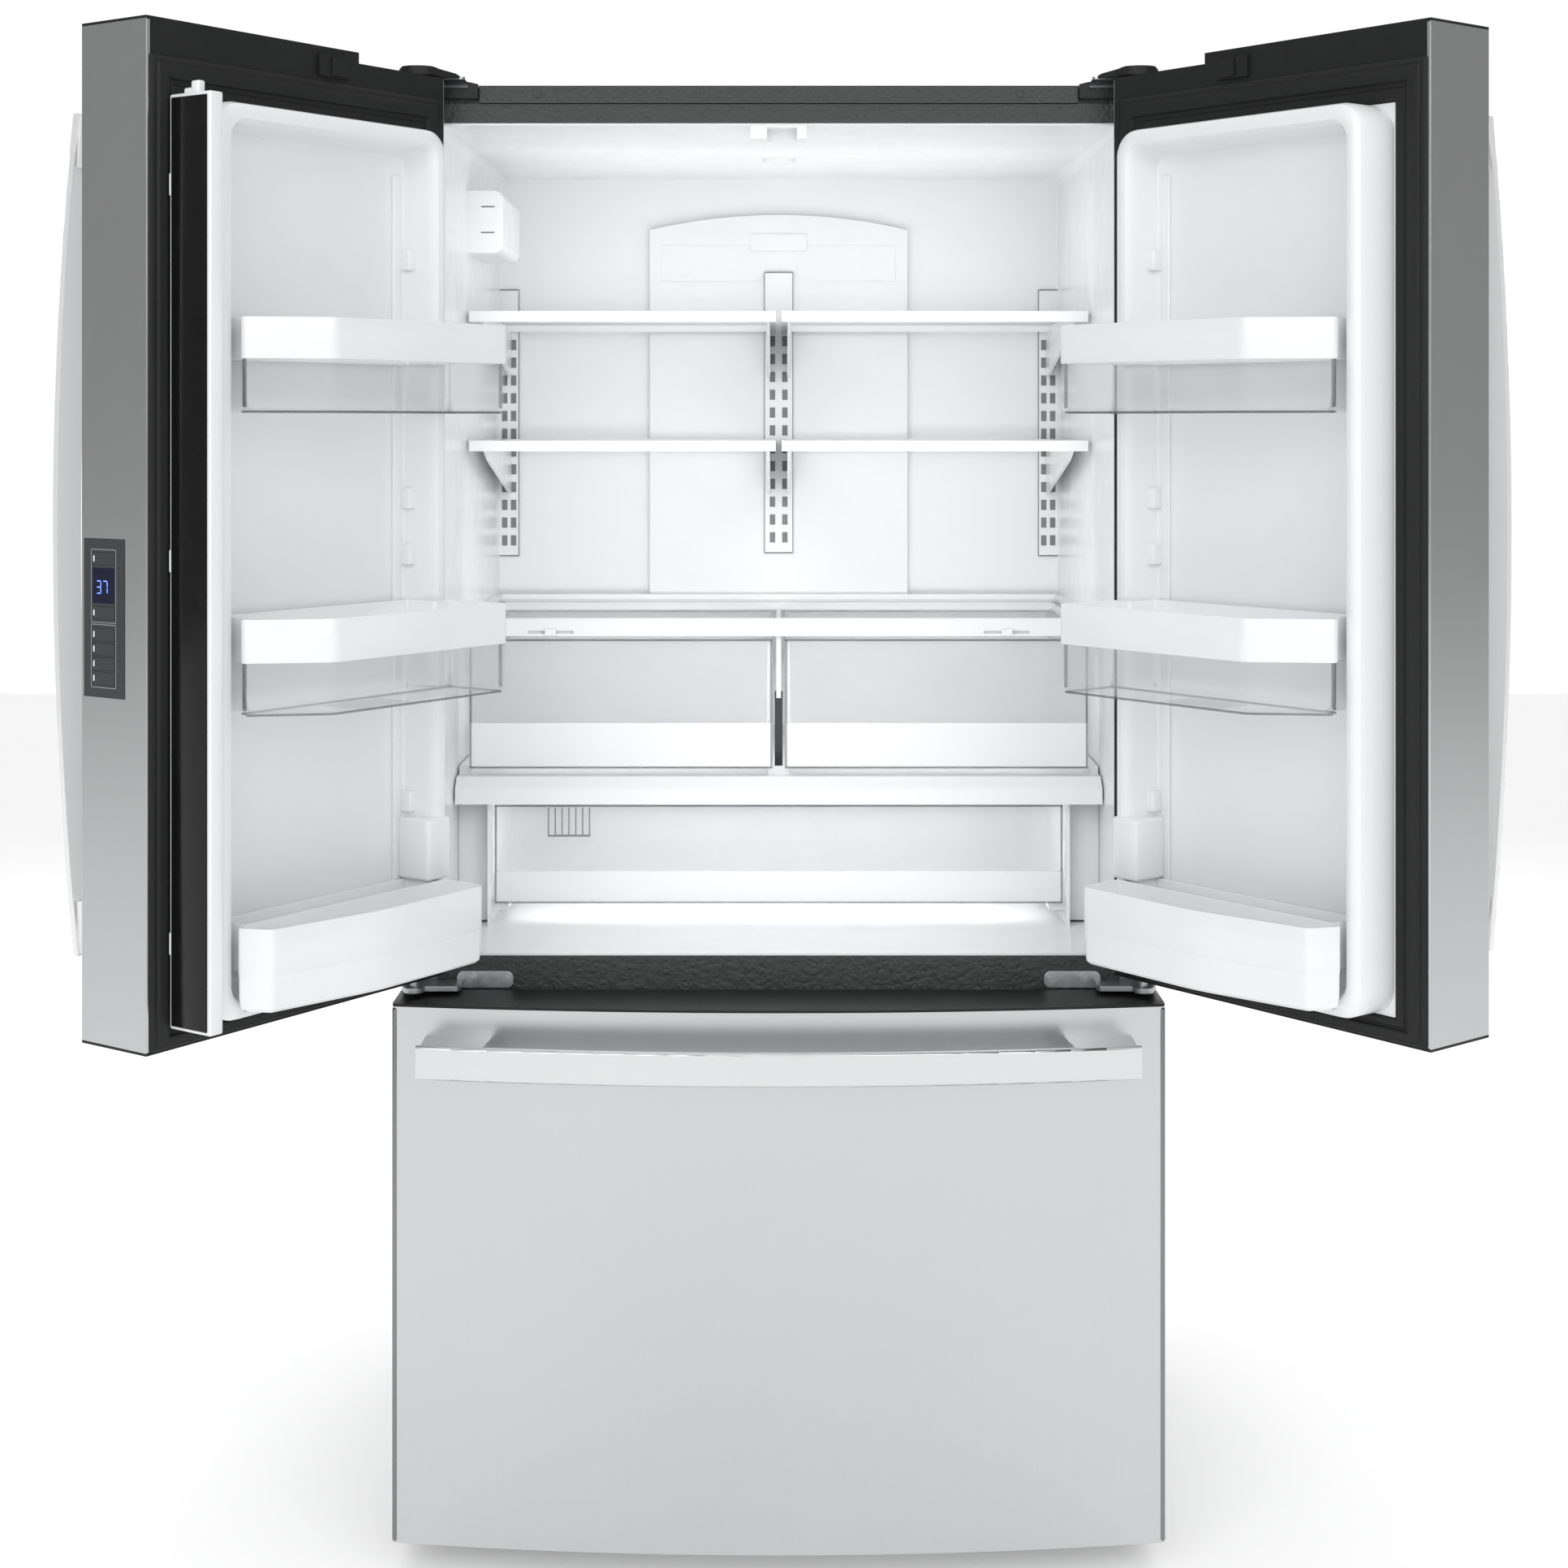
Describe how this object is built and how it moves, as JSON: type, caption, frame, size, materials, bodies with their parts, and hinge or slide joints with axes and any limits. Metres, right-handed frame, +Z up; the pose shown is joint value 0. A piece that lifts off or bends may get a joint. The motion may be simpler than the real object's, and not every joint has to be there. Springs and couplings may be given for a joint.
{
  "type": "french door refrigerator",
  "caption": "French door refrigerator with open doors, door bins, shelves, crispers and a freezer drawer.",
  "frame": {"origin": "on the floor, below the middle of the whole object with its doors open", "axes": "+Z up, the doors and the drawer front face -Y, +X to the right seen from the front"},
  "size_m": [1.6007, 1.1806, 1.777],
  "materials": {
    "case_paint": "satin textured",
    "stainless": "fine vertical brushing",
    "door_trim": "moulded, lightly textured",
    "dark_metal": "leather grain paint",
    "gasket_rubber": "ridged",
    "white_plastic": "gloss",
    "clear_plastic": "clear moulded plastic",
    "shelf_glass": "tempered glass",
    "zinc_steel": "zinc plated",
    "foam": "rigid foam",
    "black_steel": "gloss black",
    "compressor_paint": "satin black",
    "fin_aluminium": "bare fins",
    "panel_plastic": "fine matt film",
    "brass": "turned"
  },
  "bodies": {
    "cabinet": {"outer_case": "case_paint", "rear_panel": "zinc_steel", "cabinet_foam": "foam", "fresh_food_liner": "white_plastic", "freezer_liner": "white_plastic", "front_trims": "dark_metal", "base_frame": "zinc_steel", "toe_grille": "door_trim", "compressor": "compressor_paint", "condenser": "compressor_paint", "evaporator": "fin_aluminium", "rear_services": "brass", "door_hinges": "zinc_steel", "hinge_covers": "door_trim", "liner_fittings": "white_plastic", "filter_housing": "white_plastic", "shelf_ladders": "white_plastic", "shelf_frames": "white_plastic", "shelf_glass": "shelf_glass", "drawer_covers": "white_plastic", "fixed_rails": "zinc_steel"},
    "left_door": {"left_skin": "stainless", "left_foam": "foam", "left_caps": "door_trim", "left_gasket": "gasket_rubber", "left_liner": "white_plastic", "left_bins": "clear_plastic", "left_handle": "stainless", "control_panel": "panel_plastic"},
    "right_door": {"right_skin": "stainless", "right_foam": "foam", "right_caps": "door_trim", "right_gasket": "gasket_rubber", "right_liner": "white_plastic", "right_bins": "clear_plastic", "right_handle": "stainless"},
    "mullion": {"mullion": "black_steel"},
    "freezer_drawer": {"freezer_skin": "stainless", "freezer_foam": "foam", "freezer_caps": "door_trim", "freezer_gasket": "gasket_rubber", "freezer_inner_panel": "white_plastic", "freezer_handle": "stainless", "freezer_basket": "white_plastic", "drawer_rails": "zinc_steel"},
    "upper_basket": {"upper_basket": "white_plastic"},
    "crisper_left": {"crisper_left": "clear_plastic"},
    "crisper_right": {"crisper_right": "clear_plastic"},
    "pantry_drawer": {"pantry_drawer": "clear_plastic"},
    "humidity_slider_left": {"humidity_slider_left": "white_plastic"},
    "humidity_slider_right": {"humidity_slider_right": "white_plastic"},
    "condenser_fan": {"condenser_fan": "door_trim"},
    "evaporator_fan": {"evaporator_fan": "white_plastic"},
    "rear_rollers": {"rear_rollers": "door_trim"},
    "key_1": {"key_1": "panel_plastic"},
    "key_2": {"key_2": "panel_plastic"},
    "key_3": {"key_3": "panel_plastic"},
    "key_4": {"key_4": "panel_plastic"},
    "key_5": {"key_5": "panel_plastic"},
    "key_6": {"key_6": "panel_plastic"}
  },
  "joints": [
    {"name": "door_left_hinge", "type": "hinge", "parent": "cabinet", "child": "left_door", "pos_m": [-0.434, -0.194, 1.237], "axis": [0, 0, -1], "range_deg": [-124.6, 0]},
    {"name": "door_right_hinge", "type": "hinge", "parent": "cabinet", "child": "right_door", "pos_m": [0.434, -0.194, 1.237], "axis": [0, 0, 1], "range_deg": [-128.5, 0]},
    {"name": "mullion_hinge", "type": "hinge", "parent": "left_door", "child": "mullion", "pos_m": [-0.62963, -0.55471, 1.21], "axis": [0, 0, 1], "range_deg": [-90.5, 0.5]},
    {"name": "drawer_freezer_slide", "type": "slide", "parent": "cabinet", "child": "freezer_drawer", "axis": [0, -1, 0], "range_m": [0, 0.42]},
    {"name": "drawer_upper_basket_slide", "type": "slide", "parent": "cabinet", "child": "upper_basket", "axis": [0, -1, 0], "range_m": [0, 0.3]},
    {"name": "crisper_left_slide", "type": "slide", "parent": "cabinet", "child": "crisper_left", "axis": [0, -1, 0], "range_m": [0, 0.25]},
    {"name": "crisper_right_slide", "type": "slide", "parent": "cabinet", "child": "crisper_right", "axis": [0, -1, 0], "range_m": [0, 0.25]},
    {"name": "drawer_pantry_slide", "type": "slide", "parent": "cabinet", "child": "pantry_drawer", "axis": [0, -1, 0], "range_m": [0, 0.25]},
    {"name": "fan_condenser_spin", "type": "hinge", "parent": "cabinet", "child": "condenser_fan", "pos_m": [-0.06, 0.465, 0.15], "axis": [1, 0, 0], "continuous": true},
    {"name": "fan_evaporator_spin", "type": "hinge", "parent": "cabinet", "child": "evaporator_fan", "pos_m": [0, 0.433, 0.586], "axis": [0, 1, 0], "continuous": true},
    {"name": "roller_spin", "type": "hinge", "parent": "cabinet", "child": "rear_rollers", "pos_m": [0, 0.525, 0.022], "axis": [1, 0, 0], "continuous": true},
    {"name": "humidity_left_slide", "type": "slide", "parent": "cabinet", "child": "humidity_slider_left", "axis": [1, 0, 0], "range_m": [-0.02, 0.02]},
    {"name": "humidity_right_slide", "type": "slide", "parent": "cabinet", "child": "humidity_slider_right", "axis": [1, 0, 0], "range_m": [-0.02, 0.02]},
    {"name": "key_1_press", "type": "slide", "parent": "left_door", "child": "key_1", "axis": [0.5678, 0.8231, 0], "range_m": [0, 0.0006], "stiffness_N_per_m": 1500},
    {"name": "key_2_press", "type": "slide", "parent": "left_door", "child": "key_2", "axis": [0.5678, 0.8231, 0], "range_m": [0, 0.0006], "stiffness_N_per_m": 1500},
    {"name": "key_3_press", "type": "slide", "parent": "left_door", "child": "key_3", "axis": [0.5678, 0.8231, 0], "range_m": [0, 0.0006], "stiffness_N_per_m": 1500},
    {"name": "key_4_press", "type": "slide", "parent": "left_door", "child": "key_4", "axis": [0.5678, 0.8231, 0], "range_m": [0, 0.0006], "stiffness_N_per_m": 1500},
    {"name": "key_5_press", "type": "slide", "parent": "left_door", "child": "key_5", "axis": [0.5678, 0.8231, 0], "range_m": [0, 0.0006], "stiffness_N_per_m": 1500},
    {"name": "key_6_press", "type": "slide", "parent": "left_door", "child": "key_6", "axis": [0.5678, 0.8231, 0], "range_m": [0, 0.0006], "stiffness_N_per_m": 1500}
  ],
  "couplings": [
    {"joint": "mullion_hinge", "follows": "door_left_hinge", "ratio": 0.72231},
    {"joint": "drawer_upper_basket_slide", "follows": "drawer_freezer_slide", "ratio": 0.7}
  ]
}
